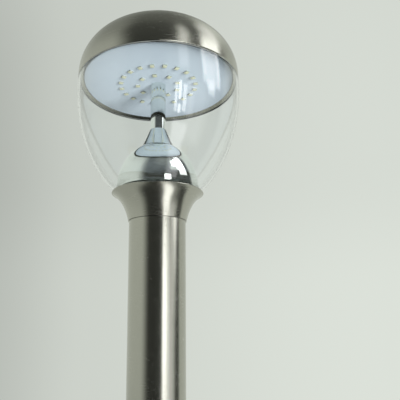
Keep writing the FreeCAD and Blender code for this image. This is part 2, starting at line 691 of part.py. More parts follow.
def driver_transformer():
    core = block(TRANSFORMER_SIZE, TRANSFORMER_SIZE, BOARD_TOP, BOARD_TOP + TRANSFORMER_HEIGHT, DRIVER_MIDDLE)
    upright = [e for e in core.Edges if e.BoundBox.ZLength > TRANSFORMER_HEIGHT / 2]
    return core.makeFillet(1.0, upright)


def driver_capacitors():
    x = DRIVER_MIDDLE + TRANSFORMER_SIZE / 2 + 2 * CAPACITOR_RADIUS
    cans = [rod(CAPACITOR_RADIUS, BOARD_TOP, BOARD_TOP + CAPACITOR_HEIGHT, x, sy * 1.5 * CAPACITOR_RADIUS)
            for sy in (-1, 1)]
    return Part.makeCompound(cans)


def driver_screws():
    seat = BRIDGE_TOP + DRIVER_LUG_THICKNESS
    length = DRIVER_LUG_THICKNESS + BRIDGE_THICKNESS
    return Part.makeCompound([small_screw(x, y, seat, length) for x, y in DRIVER_SCREW_PLACES])


# Leads
def bent_lead(radius, start, corner, end, bend_radius):
    """Round lead along two straight runs joined by one arc at a right-angled corner."""
    back = (start - corner).normalize()
    on = (end - corner).normalize()
    into = corner + back * bend_radius
    out = corner + on * bend_radius
    middle = corner + (back + on) * bend_radius * (1 - math.sqrt(0.5))
    path = Part.Wire([Part.LineSegment(start, into).toShape(), Part.Arc(into, middle, out).toShape(),
                      Part.LineSegment(out, end).toShape()])
    section = Part.Wire(Part.makeCircle(radius, start, back))
    lead = path.makePipeShell([section], True, True)
    exact = math.pi * radius ** 2 * path.Length
    print("lead volume", round(lead.Volume, 1), "section times length", round(exact, 1))
    return lead


def mains_lead():
    start = V(DRIVER_START_X + DRIVER_WALL, 0, LEAD_EXIT)
    return bent_lead(MAINS_LEAD_RADIUS, start, V(0, 0, LEAD_EXIT), V(0, 0, PLUG_TOP), MAINS_LEAD_BEND)


def led_connector():
    low = PLATE_BACK
    return block(CONNECTOR_SIZE, CONNECTOR_SIZE, low, low + CONNECTOR_HEIGHT, PLATE_LEAD_X, PLATE_LEAD_Y)


def led_lead():
    start = V(PLATE_LEAD_X, DRIVER_WIDTH / 2 - DRIVER_WALL, PLATE_LEAD_EXIT)
    corner = V(PLATE_LEAD_X, PLATE_LEAD_Y, PLATE_LEAD_EXIT)
    end = V(PLATE_LEAD_X, PLATE_LEAD_Y, PLATE_BACK + CONNECTOR_HEIGHT)
    return bent_lead(PLATE_LEAD_RADIUS, start, corner, end, PLATE_LEAD_BEND)


def nodes():
    """Every piece of the light by its name."""
    return {
        "base_plate": base_plate(),
        "cable_grommet": cable_grommet(),
        "post_weld": post_weld(),
        "post_tube": post_tube(),
        "terminal_shelf": terminal_shelf(),
        "supply_socket": supply_socket(),
        "socket_clamp_screws": Part.makeCompound([clamp_screw(x, CLAMP_SCREW_RADIUS) for x in pole_places()]),
        "socket_fixing_screws": Part.makeCompound([
            small_screw(x, 0, SHELF_TOP + SOCKET_LUG_THICKNESS, SOCKET_LUG_THICKNESS + SHELF_THICKNESS)
            for x in socket_screw_places()]),
        "earth_screw": small_screw(0, SHELF_RADIUS - EARTH_SCREW_INSET, SHELF_TOP, SHELF_THICKNESS),
        "set_screw_left": set_screw(SET_SCREW_ANGLES["left"]),
        "set_screw_right": set_screw(SET_SCREW_ANGLES["right"]),
        "lead_plug": lead_plug(),
        "spigot": ring(SPIGOT_RADIUS - SPIGOT_WALL, SPIGOT_RADIUS, SEAM - SPIGOT_LENGTH, SEAT_BOTTOM),
        "collar": collar(),
        "seat_plate": seat_plate(),
        "lower_gasket": lower_gasket(),
        "globe": globe(),
        "upper_gasket": upper_gasket(),
        "spacer_tube": ring(ROD_HOLE, SPACER_RADIUS, SEAT_TOP, DOME_CROWN - DOME_WALL),
        "reflector_dome": reflector_dome(),
        "reflector_neck": reflector_neck(),
        "rod_sleeve": ring(SLEEVE_RADIUS - SLEEVE_WALL, SLEEVE_RADIUS, NECK_TOP, PLATE_FACE),
        "tie_rod": tie_rod(),
        "lower_washer": washer(LOWER_NUT_TOP),
        "lower_nut": nut(LOWER_NUT_TOP - NUT_HEIGHT),
        "led_plate": led_plate(),
        "led_chips_outer": chips(OUTER_CHIP_COUNT, OUTER_CHIP_CIRCLE,
                                 NEAR_ANGLE + 180 / OUTER_CHIP_COUNT),
        "led_chips_inner": chips(INNER_CHIP_COUNT, INNER_CHIP_CIRCLE, INNER_CHIP_FIRST_ANGLE),
        "hub_spacer": ring(ROD_HOLE, SPACER_RADIUS, PLATE_BACK, BRIDGE_BOTTOM),
        "plate_standoffs": plate_standoffs(),
        "plate_screws": plate_screws(),
        "cap_shell": cap_shell(),
        "cap_bridge": cap_bridge(),
        "upper_washer": washer(BRIDGE_TOP),
        "upper_nut": nut(UPPER_NUT_BOTTOM),
        "driver_case": driver_case(),
        "driver_lid": driver_lid(),
        "driver_board": driver_board(),
        "driver_transformer": driver_transformer(),
        "driver_capacitors": driver_capacitors(),
        "driver_screws": driver_screws(),
        "led_connector": led_connector(),
        "led_lead": led_lead(),
        "mains_lead": mains_lead(),
    }


os.makedirs("parts", exist_ok=True)
for name, shape in nodes().items():
    shape.exportStep(os.path.join("parts", name + ".step"))
    box = shape.BoundBox
    print(f"{name}: {len(shape.Solids)} solids, valid {shape.isValid()}, volume {shape.Volume:.0f},",
          f"z {box.ZMin:.2f} to {box.ZMax:.2f}, x {box.XMin:.2f} to {box.XMax:.2f}")
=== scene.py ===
# %% [markdown]
# # Outdoor post light
# A brushed steel post ends in a flared collar. The collar carries a clear egg-shaped globe, a chrome dome and
# stem stand inside the globe, and a domed steel cap closes it, with a white plate of light chips underneath.
# The packed model gives every piece its size and place, so this lesson only dresses it: a finer mesh for the globe,
# light chips in place of plain blocks, a finish for every surface, and a room for the metal to reflect.

# %% Load the packed model
import math

import bmesh
import bpy
from mathutils import Matrix, Vector


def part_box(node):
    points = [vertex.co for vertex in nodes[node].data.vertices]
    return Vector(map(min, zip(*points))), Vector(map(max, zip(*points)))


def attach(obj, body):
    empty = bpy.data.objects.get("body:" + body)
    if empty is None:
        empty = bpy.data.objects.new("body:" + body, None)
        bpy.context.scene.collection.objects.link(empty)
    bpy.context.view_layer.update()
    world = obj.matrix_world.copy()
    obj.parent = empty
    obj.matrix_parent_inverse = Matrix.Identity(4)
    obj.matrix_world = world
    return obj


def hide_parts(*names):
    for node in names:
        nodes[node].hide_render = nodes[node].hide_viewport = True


MM = 0.001
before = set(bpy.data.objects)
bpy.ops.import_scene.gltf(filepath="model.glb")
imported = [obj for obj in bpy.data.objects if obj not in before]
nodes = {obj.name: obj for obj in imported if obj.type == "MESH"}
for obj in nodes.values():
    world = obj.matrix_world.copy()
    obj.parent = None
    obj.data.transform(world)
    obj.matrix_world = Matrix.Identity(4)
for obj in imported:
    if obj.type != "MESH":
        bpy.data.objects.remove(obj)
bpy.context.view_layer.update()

# %% [markdown]
# ## Camera
# The photograph looks up at the light from below its collar, and it is cut from a larger picture, so the lens axis
# doesn't pass through the middle of the frame. A camera could be placed by eye. Here it comes from a fit of the
# rims and edges: where it stands, how it leans, and a small lens shift for the off-centre cut.

# %% Camera
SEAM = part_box("post_tube")[1][2]
PHOTO_SIDE = 400
FOCAL_PIXELS = 460.2
LENS_AXIS_PIXEL = (161.0, 246.6)
CAMERA_DISTANCE = 476.5 * MM
CAMERA_BELOW_SEAM = 100.1 * MM
CAMERA_PITCH = math.radians(8.81)
CAMERA_YAW = math.radians(0.48)
CAMERA_ROLL = math.radians(0.33)
NEAREST_SEEN = 10 * MM
SENSOR = 36.0

camera_data = bpy.data.cameras.new("photo_camera")
camera_data.sensor_fit = "HORIZONTAL"
camera_data.sensor_width = SENSOR
camera_data.lens = FOCAL_PIXELS / PHOTO_SIDE * SENSOR
camera_data.shift_x = (PHOTO_SIDE / 2 - LENS_AXIS_PIXEL[0]) / PHOTO_SIDE
camera_data.shift_y = (LENS_AXIS_PIXEL[1] - PHOTO_SIDE / 2) / PHOTO_SIDE
camera_data.clip_start = NEAREST_SEEN
camera = bpy.data.objects.new("photo_camera", camera_data)
bpy.context.collection.objects.link(camera)
stand = Matrix.Translation((0, -CAMERA_DISTANCE, SEAM - CAMERA_BELOW_SEAM))
turn = Matrix.Rotation(-CAMERA_YAW, 4, "Z") @ Matrix.Rotation(math.pi / 2 + CAMERA_PITCH, 4, "X")
camera.matrix_world = stand @ turn @ Matrix.Rotation(CAMERA_ROLL, 4, "Z")
bpy.context.scene.camera = camera
bpy.context.scene.view_settings.view_transform = "Standard"
print("lens", round(camera_data.lens, 2), "shift", round(camera_data.shift_x, 4), round(camera_data.shift_y, 4))

# %% [markdown]
# ## Sums with sockets
# A finish is built from shader nodes, and most of the work is plain arithmetic on masks. Wiring Math nodes by hand
# hides the sum. This small class wraps one output socket, so that `1 - mask * 0.3` in Python adds the Math nodes for
# it. Every other kind of node goes through the one method `node`, which sets its settings first and its sockets next.

# %% A socket that does sums
class Wire:
    """One output socket of a node tree that can be used in Python sums."""

    def __init__(self, tree, socket=None):
        self.tree = tree
        self.socket = socket

    def node(self, kind, settings=None, inputs=None, out=0):
        """Add a node, set its settings, then give its sockets values or links; returns one output."""
        made = self.tree.nodes.new(kind)
        for key, value in (settings or {}).items():
            setattr(made, key, value)
        for key, value in (inputs or {}).items():
            if isinstance(value, Wire):
                self.tree.links.new(value.socket, made.inputs[key])
            else:
                made.inputs[key].default_value = value
        return Wire(self.tree, made.outputs[out])

    def __add__(self, other):
        return self.node("ShaderNodeMath", {"operation": "ADD"}, {0: self, 1: other})

    def __radd__(self, other):
        return self.node("ShaderNodeMath", {"operation": "ADD"}, {0: other, 1: self})

    def __sub__(self, other):
        return self.node("ShaderNodeMath", {"operation": "SUBTRACT"}, {0: self, 1: other})

    def __rsub__(self, other):
        return self.node("ShaderNodeMath", {"operation": "SUBTRACT"}, {0: other, 1: self})

    def __mul__(self, other):
        return self.node("ShaderNodeMath", {"operation": "MULTIPLY"}, {0: self, 1: other})

    def __rmul__(self, other):
        return self.node("ShaderNodeMath", {"operation": "MULTIPLY"}, {0: other, 1: self})

    def __truediv__(self, other):
        return self.node("ShaderNodeMath", {"operation": "DIVIDE"}, {0: self, 1: other})

    def __rtruediv__(self, other):
        return self.node("ShaderNodeMath", {"operation": "DIVIDE"}, {0: other, 1: self})


print("operators with a reflected form:", sum(name.startswith("__r") for name in vars(Wire)))

# %% [markdown]
# ## Masks and colours
# A mask is a number from 0 to 1 that says where something is, such as a stripe of light or a worn spot. Ramps with
# stops could draw masks one at a time. A smooth step between two values is easier to read, and two steps make a band.
# Colours are written as picture files have them, from 0 to 255, and turned into the shader's even scale of light.

# %% Masks and colours
# The Mix node keeps its colour sockets behind those for numbers and vectors.
MIX_FACTOR, MIX_FIRST, MIX_SECOND = 0, 6, 7
MIX_RESULT = 2


def rise(wire, low, high):
    """0 below low, 1 above high and a smooth step between."""
    return wire.node("ShaderNodeMapRange", {"interpolation_type": "SMOOTHSTEP"},
                     {"Value": wire, "From Min": low, "From Max": high})


def band(wire, low, high, soft):
    """1 between low and high, with soft edges."""
    return rise(wire, low - soft, low + soft) * (1 - rise(wire, high - soft, high + soft))


def blend(factor, first, second):
    """Colour that goes from the first to the second with the factor."""
    return factor.node("ShaderNodeMix", {"data_type": "RGBA"},
                       {MIX_FACTOR: factor, MIX_FIRST: first, MIX_SECOND: second}, out=MIX_RESULT)


def from_bytes(*channels):
    """Colour as a shader wants it, from a picture's 0 to 255 numbers by the standard curve of picture files."""
    shares = [c / 255 for c in channels]
    return [s / 12.92 if s <= 0.04045 else ((s + 0.055) / 1.055) ** 2.4 for s in shares] + [1]


def axis_of(place, axis):
    """One coordinate of a place or direction."""
    return place.node("ShaderNodeSeparateXYZ", inputs={0: place}, out=axis)


def feed(shader, socket, wire):
    """Link a wire to a socket of a shader."""
    shader.id_data.links.new(wire.socket, shader.inputs[socket])


print("a picture's 128 is", round(from_bytes(128)[0], 3), "of full light")

# %% [markdown]
# ## Room: which way a ray looks
# Polished and brushed metal is mostly a picture of the room around it. The light stood against a pale wall, with a
# dark room behind the camera and tall windows on its right. Lamps and black cards could stand for these. Painting
# them on the world is simpler, and keeps their edges where the photograph's reflections have them. The world is asked
# for its light in a ray's direction, so the first cell works out the ray's compass, with 0 towards the camera and 90
# to the right, and its height, both in degrees. It also counts what the ray has met. One that went through more than
# two faces of the globe was mirrored by the chrome inside. The globe bends such rays, so they read the windows lower
# down. Stripes that run straight down would meet below the light, so a low ray's compass is pulled to the front, as
# stripes on a floor would run. The renderer can also aim rays at the world on its own, but those don't count their
# bounces, so that is switched off.

# %% Which way a ray looks
ONE_OR_MORE = (0.2, 0.8)
THREE_OR_MORE = (2.2, 2.8)
GLOBE_DROP = 16
FLOOR_PULL = 0.43
FLOOR_PULL_FROM = (0.45, 0.9)

room = bpy.data.worlds.new("room")
bpy.context.scene.world = room
room.use_nodes = True
room.cycles.sampling_method = "NONE"
ray = Wire(room.node_tree)


def bounces(kind):
    """How many surfaces of a kind the ray has met on its way."""
    return ray.node("ShaderNodeLightPath", out=kind + " Depth")


way = ray.node("ShaderNodeTexCoord", out="Generated")
across, ahead, up = (axis_of(way, axis) for axis in "XYZ")
matt = rise(bounces("Diffuse"), *ONE_OR_MORE)
gloss = rise(bounces("Glossy"), *ONE_OR_MORE)
inside = rise(bounces("Transmission"), *THREE_OR_MORE)
outside = 1 - inside
to_front = rise(-1 * up, *FLOOR_PULL_FROM) * outside * FLOOR_PULL - ahead
compass = ray.node("ShaderNodeMath", {"operation": "ARCTAN2"}, {0: across, 1: to_front}) * math.degrees(1)
height = ray.node("ShaderNodeMath", {"operation": "ARCSINE"}, {0: up}) * math.degrees(1)
window_height = height - inside * GLOBE_DROP
print("nodes for a ray's direction:", len(room.node_tree.nodes))

# %% [markdown]
# ## Room: windows
# The tall windows and the glow round them are the bright stripes on the steel and the white shapes in the chrome. A
# picture of a window would need a file of its own. Here each patch of light is a band of the compass times a band of
# heights, with soft edges and a brightness, so that each can be set on its own. The steel and the chrome in the globe
# don't mirror quite the same picture, so each of them has some patches that only it sees.

# %% Windows
PATCHES = [
    {"sides": (61, 91), "heights": (17, 38), "soft": 1.5, "light": 2.2},
    {"sides": (61, 67), "heights": (21, 38), "soft": 1.2, "light": 1.2},
    {"sides": (85, 91), "heights": (19, 37), "soft": 1.2, "light": 1.0},
    {"sides": (70, 81), "heights": (11, 17), "soft": 1.5, "light": 2.4},
]
OUTER_PATCHES = [
    {"sides": (22, 25.5), "heights": (-9.5, 11), "soft": 1.2, "light": 5.0},
    {"sides": (27, 31), "heights": (-0.5, 13), "soft": 1.0, "light": 6.5},
    {"sides": (27, 31), "heights": (-10, -3.5), "soft": 1.0, "light": 7.0},
    {"sides": (33, 38), "heights": (-8, 11), "soft": 1.2, "light": 4.5},
    {"sides": (21, 44), "heights": (-31, -16), "soft": 4.0, "light": 2.6},
    {"sides": (16, 40), "heights": (-88, -31), "soft": 4.0, "light": 2.4},
    {"sides": (37, 48), "heights": (-10, 14), "soft": 4.0, "light": 1.1},
    {"sides": (41, 64), "heights": (-27, 14), "soft": 6.0, "light": 0.9},
    {"sides": (41, 62), "heights": (-85, -27), "soft": 6.0, "light": 0.25},
    {"sides": (62, 74), "heights": (-27, 10), "soft": 4.0, "light": 0.45},
    {"sides": (67, 80), "heights": (14, 19), "soft": 1.5, "light": 2.3},
    {"sides": (64, 80), "heights": (19, 30), "soft": 2.0, "light": 0.7},
    {"sides": (66, 104), "heights": (37, 49), "soft": 4.0, "light": 1.5},
    {"sides": (79, 112), "heights": (49, 64), "soft": 5.0, "light": 1.2},
    {"sides": (107, 150), "heights": (44, 64), "soft": 8.0, "light": 0.5},
    {"sides": (27, 41), "heights": (22, 40), "soft": 3.5, "light": 1.35},
    {"sides": (30, 47), "heights": (40, 60), "soft": 4.0, "light": 0.95},
]
INNER_PATCHES = [
    {"sides": (19, 37), "heights": (-66, -12), "soft": 2.0, "light": 1.6},
    {"sides": (19, 36), "heights": (-12, 6), "soft": 1.5, "light": 3.5},
    {"sides": (66, 92), "heights": (7, 18), "soft": 1.5, "light": 1.6},
    {"sides": (45, 63), "heights": (24, 36), "soft": 3.0, "light": 2.0},
    {"sides": (38, 64), "heights": (16, 25), "soft": 3.0, "light": 0.5},
    {"sides": (70, 90), "heights": (36, 44), "soft": 3.0, "light": 1.5},
    {"sides": (-4, 60), "heights": (27, 70), "soft": 12.0, "light": 0.11},
]


def patch_lights(patches):
    """Brightness of some patches together in the ray's direction."""
    return sum(band(compass, *patch["sides"], patch["soft"])
               * band(window_height, *patch["heights"], patch["soft"]) * patch["light"] for patch in patches)


windows = patch_lights(PATCHES) + patch_lights(OUTER_PATCHES) * outside + patch_lights(INNER_PATCHES) * inside
print("patches of light:", len(PATCHES), "for all,", len(OUTER_PATCHES), "outside,", len(INNER_PATCHES), "inside")

# %% [markdown]
# ## Room: dark side
# The dark bands on the cap, the collar, the post and the dome are the unlit room behind the camera. A black card
# would have the same edges for every piece. Painted, the dark side can lean to the left and reach further to the
# right high up, where only the cap mirrors it, and reach a little further for the chrome too. Low down the chrome
# mirrors the shade round the foot of the dome, which ends further to the right and softly.

# %% Dark side
DARK_ROOM = 0.055
DARK_HIGH = 0.09
DARK_LIFTS = (15, 50)
DARK_FROM = (-64, -30)
DARK_TO = (90, 102)
DARK_LEAN = 15
DARK_LEAN_FROM = (22, 56)
DARK_WIDENS = 8
DARK_WIDENS_FROM = (20, 30)
DARK_INSIDE_BY = 10
SHADE_BELOW = (-16, -6)
SHADE_FROM = (-64, -30)
SHADE_TO = (95, 152)

leaned = compass + rise(height, *DARK_LEAN_FROM) * outside * DARK_LEAN
wider = inside * DARK_INSIDE_BY + rise(height, *DARK_WIDENS_FROM) * outside * DARK_WIDENS
dark_sides = rise(leaned, *DARK_FROM) * (1 - rise(compass - wider, *DARK_TO))
shade = rise(compass, *SHADE_FROM) * (1 - rise(compass, *SHADE_TO))
below = inside * (1 - rise(height, *SHADE_BELOW))
dark = dark_sides * (1 - below) + shade * below
dark_level = DARK_ROOM + rise(window_height, *DARK_LIFTS) * (DARK_HIGH - DARK_ROOM)
print("dark side from", DARK_FROM, "to", DARK_TO, "degrees")

# %% [markdown]
# ## Room: walls in the metal
# Beside the dark room, metal mirrors the pale wall, which is dimmer high up and low on the left, and a dim ceiling
# straight above. Where one piece of chrome mirrors another, the photograph has dark lines, so a ray that chrome in
# the globe mirrored twice is dimmed. Real bounces alone would make these lines too pale, because the painted room has
# no corners that shade each other.

# %% Walls in the metal
TWO_OR_MORE = (1.2, 1.8)
MIRRORED_WALL = 0.72
HIGH_WALL = 0.36
WALL_FADES = (22, 60)
SUNK_WALL = 0.57
WALL_SINKS = (-5, 30)
SUNK_TO = (-30, 30)
OVERHEAD = 0.2
OVERHEAD_FROM = (60, 80)
SECOND_MIRROR = 0.2

faded = rise(window_height, *WALL_FADES)
sunk = rise(-1 * height, *WALL_SINKS) * (1 - rise(compass, *SUNK_TO)) * outside
mirrored_wall = MIRRORED_WALL - faded * (MIRRORED_WALL - HIGH_WALL) - sunk * (MIRRORED_WALL - SUNK_WALL)
sides = mirrored_wall * (1 - dark) + dark_level * dark + windows
over = rise(window_height, *OVERHEAD_FROM)
dimmed = 1 - inside * rise(bounces("Glossy"), *TWO_OR_MORE) * (1 - SECOND_MIRROR)
mirrored = (sides * (1 - over) + OVERHEAD * over) * dimmed
print("mirrored wall", MIRRORED_WALL, "and high up", HIGH_WALL)

# %% [markdown]
# ## Room: wall behind the light
# A ray that no metal mirrored sees the plain wall, also through the globe: pale all round, and a little dimmer on the
# left behind the light. A flat card with a gradient could stand there, but then it would show its edges from other
# sides. On the world the wall has none.

# %% Wall behind the light
WALL = 0.653
WALL_DIM = 0.455
WALL_RISES = [(-0.37, -0.15, 0.135), (-0.25, 0.45, 0.12)]
WALL_LOW = 0.045
WALL_LOW_FROM = (-0.3, -0.05)
BEHIND_FROM = (0.5, 0.85)

far_wall = WALL_DIM
for left, right, light in WALL_RISES:
    far_wall = far_wall + rise(across, left, right) * light
far_wall = far_wall + rise(-1 * up, *WALL_LOW_FROM) * WALL_LOW
behind = rise(ahead, *BEHIND_FROM)
seen = WALL * (1 - behind) + far_wall * behind
print("wall", WALL, "all round and from", WALL_DIM, "up behind the light")

# %% [markdown]
# ## Room: all its light
# Metal gets the mirrored room, and the camera and the globe get the wall. Matt surfaces get the same plain light from
# all round, as in a studio. They could be lit by the windows too, but then their colours would depend on stripes that
# are there for the metal alone.

# %% All the room's light
STUDIO = 0.72
WALL_TINT = from_bytes(249, 255, 246)
WINDOW_TINT = from_bytes(252, 254, 255)
STUDIO_TINT = from_bytes(252, 254, 255)
WINDOW_TINT_FROM = (0.5, 1.0)

strength = (seen * (1 - gloss) + mirrored * gloss) * (1 - matt) + STUDIO * matt
tint = blend(matt, blend(rise(windows, *WINDOW_TINT_FROM), WALL_TINT, WINDOW_TINT), STUDIO_TINT)
background = room.node_tree.nodes["Background"]
feed(background, "Color", tint)
feed(background, "Strength", strength)
print("world nodes:", len(room.node_tree.nodes))

# %% [markdown]
# ## Window light
# Matt surfaces take some light from the windows' side: the plate shows the stem's shadow, which points away from a
# window in front on the right, a little lower than the head. A soft lamp stands there, with a narrow beam that leaves
# the floor in front plain. Metal has the painted window to mirror already, so the lamp is kept out of reflections.

# %% Window lamp
LAMP_SIDE = math.radians(42)
LAMP_DROP = math.radians(11)
LAMP_AWAY = 0.8
LAMP_SIZE = (0.3, 0.22)
LAMP_WATTS = 1.6
LAMP_SPREAD = math.radians(70)


def window_lamp():
    """Soft lamp that points at the middle of the white plate."""
    data = bpy.data.lights.new("window_lamp", "AREA")
    data.shape = "RECTANGLE"
    data.size, data.size_y = LAMP_SIZE
    data.energy = LAMP_WATTS
    data.spread = LAMP_SPREAD
    made = bpy.data.objects.new("window_lamp", data)
    bpy.context.collection.objects.link(made)
    target = Vector((0, 0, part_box("led_plate")[0][2]))
    level = math.cos(LAMP_DROP)
    to_lamp = Vector((math.sin(LAMP_SIDE) * level, -math.cos(LAMP_SIDE) * level, -math.sin(LAMP_DROP)))
    made.location = target + to_lamp * LAMP_AWAY
    made.rotation_euler = to_lamp.to_track_quat("Z", "Y").to_euler()
    made.visible_camera = False
    made.visible_glossy = False
    made.visible_transmission = False
    return made


lamp = window_lamp()
print("lamp at", [round(v, 3) for v in lamp.location])

# %% [markdown]
# ## Finishes
# A finish is one material with one Principled shader. What is the same all over a piece is set on the shader's own
# sockets, where other programs can read it. What changes over the surface could come from a picture that is wrapped
# round the piece. Patterns in the piece's own coordinates are better here: they have their real size in metres, no
# seams, and they move with the piece.

# %% Helpers for finishes
NOISE_MIDDLE = 0.5


def length_of(*parts):
    """Root of the sum of squares of some wires."""
    total = sum(part * part for part in parts)
    return total.node("ShaderNodeMath", {"operation": "SQRT"}, {0: total})


def new_finish(name, sockets):
    """Material, its shader with plain numbers and colours on its own sockets, and the place on the piece."""
    material = bpy.data.materials.new(name)
    material.use_nodes = True
    tree = material.node_tree
    shader = tree.nodes["Principled BSDF"]
    for socket, value in sockets.items():
        shader.inputs[socket].default_value = value
    return material, shader, Wire(tree).node("ShaderNodeTexCoord", out="Object")


def noise(place, scale, detail, distortion=0.0):
    """Soft random pattern, with scale in spots per metre."""
    return place.node("ShaderNodeTexNoise", inputs={
        "Vector": place, "Scale": scale, "Detail": detail, "Distortion": distortion})


def swing(pattern, amount):
    """Pattern as a change up and down from its middle."""
    return (pattern - NOISE_MIDDLE) * amount


def bump(pattern, strength, depth):
    """Surface direction on small hills and dips."""
    return pattern.node("ShaderNodeBump", inputs={"Strength": strength, "Distance": depth, "Height": pattern})


def dress(material, *names):
    """Give packed nodes their finish."""
    for name in names:
        mesh = nodes[name].data
        mesh.materials.clear()
        mesh.materials.append(material)


print("packed pieces to dress:", len(nodes))

# %% [markdown]
# ## Floor
# A plain pale floor under the base plate keeps the shadow. It could run to the horizon, but then its far edge would
# cross the photograph's view. A round floor that fades out ends below the picture instead. Mirrors and the globe
# don't see it, because the painted room has a floor of its own.

# %% Floor
FLOOR_RADIUS = 1.1
FLOOR_SIDES = 96
FLOOR_DROP = 0.5 * MM
FLOOR_FADE_FROM = 0.55
FLOOR_COLOUR = from_bytes(222, 224, 219)
FLOOR_ROUGHNESS = 0.8


def pale_floor():
    """Round floor whose finish fades to nothing at its edge."""
    mesh = bpy.data.meshes.new("floor")
    disc = bmesh.new()
    bmesh.ops.create_circle(disc, cap_ends=True, radius=FLOOR_RADIUS, segments=FLOOR_SIDES)
    disc.to_mesh(mesh)
    disc.free()
    material, shader, place = new_finish("floor", {"Base Color": FLOOR_COLOUR, "Roughness": FLOOR_ROUGHNESS})
    away = length_of(axis_of(place, "X"), axis_of(place, "Y"))
    feed(shader, "Alpha", 1 - rise(away, FLOOR_FADE_FROM, FLOOR_RADIUS))
    mesh.materials.append(material)
    return bpy.data.objects.new("floor", mesh)


floor = pale_floor()
bpy.context.collection.objects.link(floor)
floor.location.z = -FLOOR_DROP
floor.visible_glossy = False
floor.visible_transmission = False
print("floor radius", FLOOR_RADIUS)

# %% [markdown]
# ## Brushed steel
# Post, collar, cap and base plate are stainless steel, turned against an abrasive so that fine lines run round them.
# Such lines blur a reflection across themselves: up and down here, while its sides stay sharp. That is what the
# shader's anisotropy does, turned a quarter. Noise that is drawn out round the axis adds the lines themselves, faint
# in colour, roughness and bump. The cap's folded-in rim was bent after brushing and is smoother than the rest.

# %% Lines round the axis
LINE_PITCH = 0.4 * MM
LINE_REACH = 5.0
LINE_NOISE = {"Scale": 1.0, "Detail": 3.0, "Roughness": 0.6}
OFF_AXIS = 1e-6


def lines_round_axis(place):
    """Noise in fine lines that follow circles about the post's axis and change slowly round each circle."""
    x, y, z = (axis_of(place, axis) for axis in "XYZ")
    radius = length_of(x, y) + OFF_AXIS
    spot = place.node("ShaderNodeCombineXYZ", inputs={
        0: x / radius * LINE_REACH, 1: y / radius * LINE_REACH, 2: z / LINE_PITCH})
    return spot.node("ShaderNodeTexNoise", {"noise_dimensions": "4D"},
                     {"Vector": spot, "W": radius / LINE_PITCH, **LINE_NOISE})


print("lines", round(LINE_PITCH / MM, 2), "mm apart")

# %% Folded rim
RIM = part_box("cap_shell")[0][2]
RIM_HEIGHTS = (RIM - 5 * MM, RIM + 5.4 * MM)
RIM_SOFT = 0.2 * MM
RIM_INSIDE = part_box("cap_shell")[1][0] - 1.6 * MM
RIM_TURN = 0.8 * MM


def folded_rim(place):
    """1 on the part of the cap's rim that is folded in."""
    from_axis = length_of(axis_of(place, "X"), axis_of(place, "Y"))
    low = band(axis_of(place, "Z"), *RIM_HEIGHTS, RIM_SOFT)
    return low * (1 - rise(from_axis, RIM_INSIDE, RIM_INSIDE + RIM_TURN))


print("rim at", round(RIM, 4), "and folded in from a radius of", round(RIM_INSIDE, 4))

# %% Brushed steel
STEEL = from_bytes(186, 185, 175)
STEEL_DARK = from_bytes(172, 171, 161)
STEEL_ROUGHNESS = 0.25
RIM_ROUGHNESS = 0.1
BRUSHED_ROUND = {"Metallic": 1.0, "Anisotropic": 0.7, "Anisotropic Rotation": 0.25}
LINE_SHARE = 0.7
LINE_ROUGHNESS = 0.12
LINE_BUMP = 0.06
LINE_DEPTH = 0.1 * MM
PATCH_SIZE = 14 * MM
PATCH_DETAIL = 2.0
PATCH_ROUGHNESS = 0.05


def brushed_steel():
    material, shader, place = new_finish("brushed_steel", BRUSHED_ROUND)
    lines = lines_round_axis(place)
    patches = noise(place, 1 / PATCH_SIZE, PATCH_DETAIL)
    folded = folded_rim(place)
    brushed = STEEL_ROUGHNESS + swing(lines, LINE_ROUGHNESS) + swing(patches, PATCH_ROUGHNESS)
    feed(shader, "Base Color", blend(lines * LINE_SHARE + patches * (1 - LINE_SHARE), STEEL_DARK, STEEL))
    feed(shader, "Roughness", brushed * (1 - folded) + RIM_ROUGHNESS * folded)
    feed(shader, "Normal", bump(lines, LINE_BUMP, LINE_DEPTH))
    return material


steel = brushed_steel()
dress(steel, "post_tube", "base_plate", "post_weld", "collar", "cap_shell")
print("brushed steel on", steel.users, "pieces")

# %% [markdown]
# ## Chrome
# The dome, its cone and the sleeve over the tie rod are polished and plated. Chrome is nearly a perfect mirror with a
# cool tint, so a flat colour would do for the plating, but not for handling: faint wipe marks break the mirror a
# little. At a steep glance chrome darkens a little before it turns into a full mirror. The cone's thin dark outline
# is painted shade on top of that: its specular tint is set dark, so that its edges stand for the dark rim it mirrors.

# %% Chrome
CHROME = from_bytes(243, 247, 243)
CHROME_WIPED = from_bytes(235, 240, 236)
CHROME_ROUGHNESS = 0.015
WIPES = {"scale": 55.0, "detail": 4.0, "distortion": 1.2}
WIPED_FROM = (0.52, 0.72)
WIPED_ROUGHNESS = 0.05
PALE_EDGE = (1, 1, 1, 1)
# Painted shade: a dark edge tint that darkens the cone's edges at a steep glance.
PAINTED_DARK_EDGE = (0.1, 0.1, 0.1, 1)


def polished_chrome(name, edge):
    material, shader, place = new_finish(name, {"Metallic": 1.0, "Specular Tint": edge})
    marks = rise(noise(place, **WIPES), *WIPED_FROM)
    feed(shader, "Base Color", blend(marks, CHROME, CHROME_WIPED))
    feed(shader, "Roughness", CHROME_ROUGHNESS + marks * WIPED_ROUGHNESS)
    return material


dress(polished_chrome("polished_chrome", PALE_EDGE), "reflector_dome", "rod_sleeve")
dress(polished_chrome("cone_chrome", PAINTED_DARK_EDGE), "reflector_neck")
print("chrome on dome, sleeve and cone")

# %% [markdown]
# ## Clear globe
# The globe is a moulded clear shell with a real wall, so its edge darkens where the light runs along the wall. A
# single transparent skin would lose that edge. The packed solid has small uneven facets, which would bend the rim
# behind them into steps. So the shell is turned again here in fine, even steps, from part of an ellipse for its
# outside and a smaller one for its inside. A thin veil of dust makes it a little rough in places. It casts no shadow,
# so that light reaches the plate and the chrome without passing through it by chance.

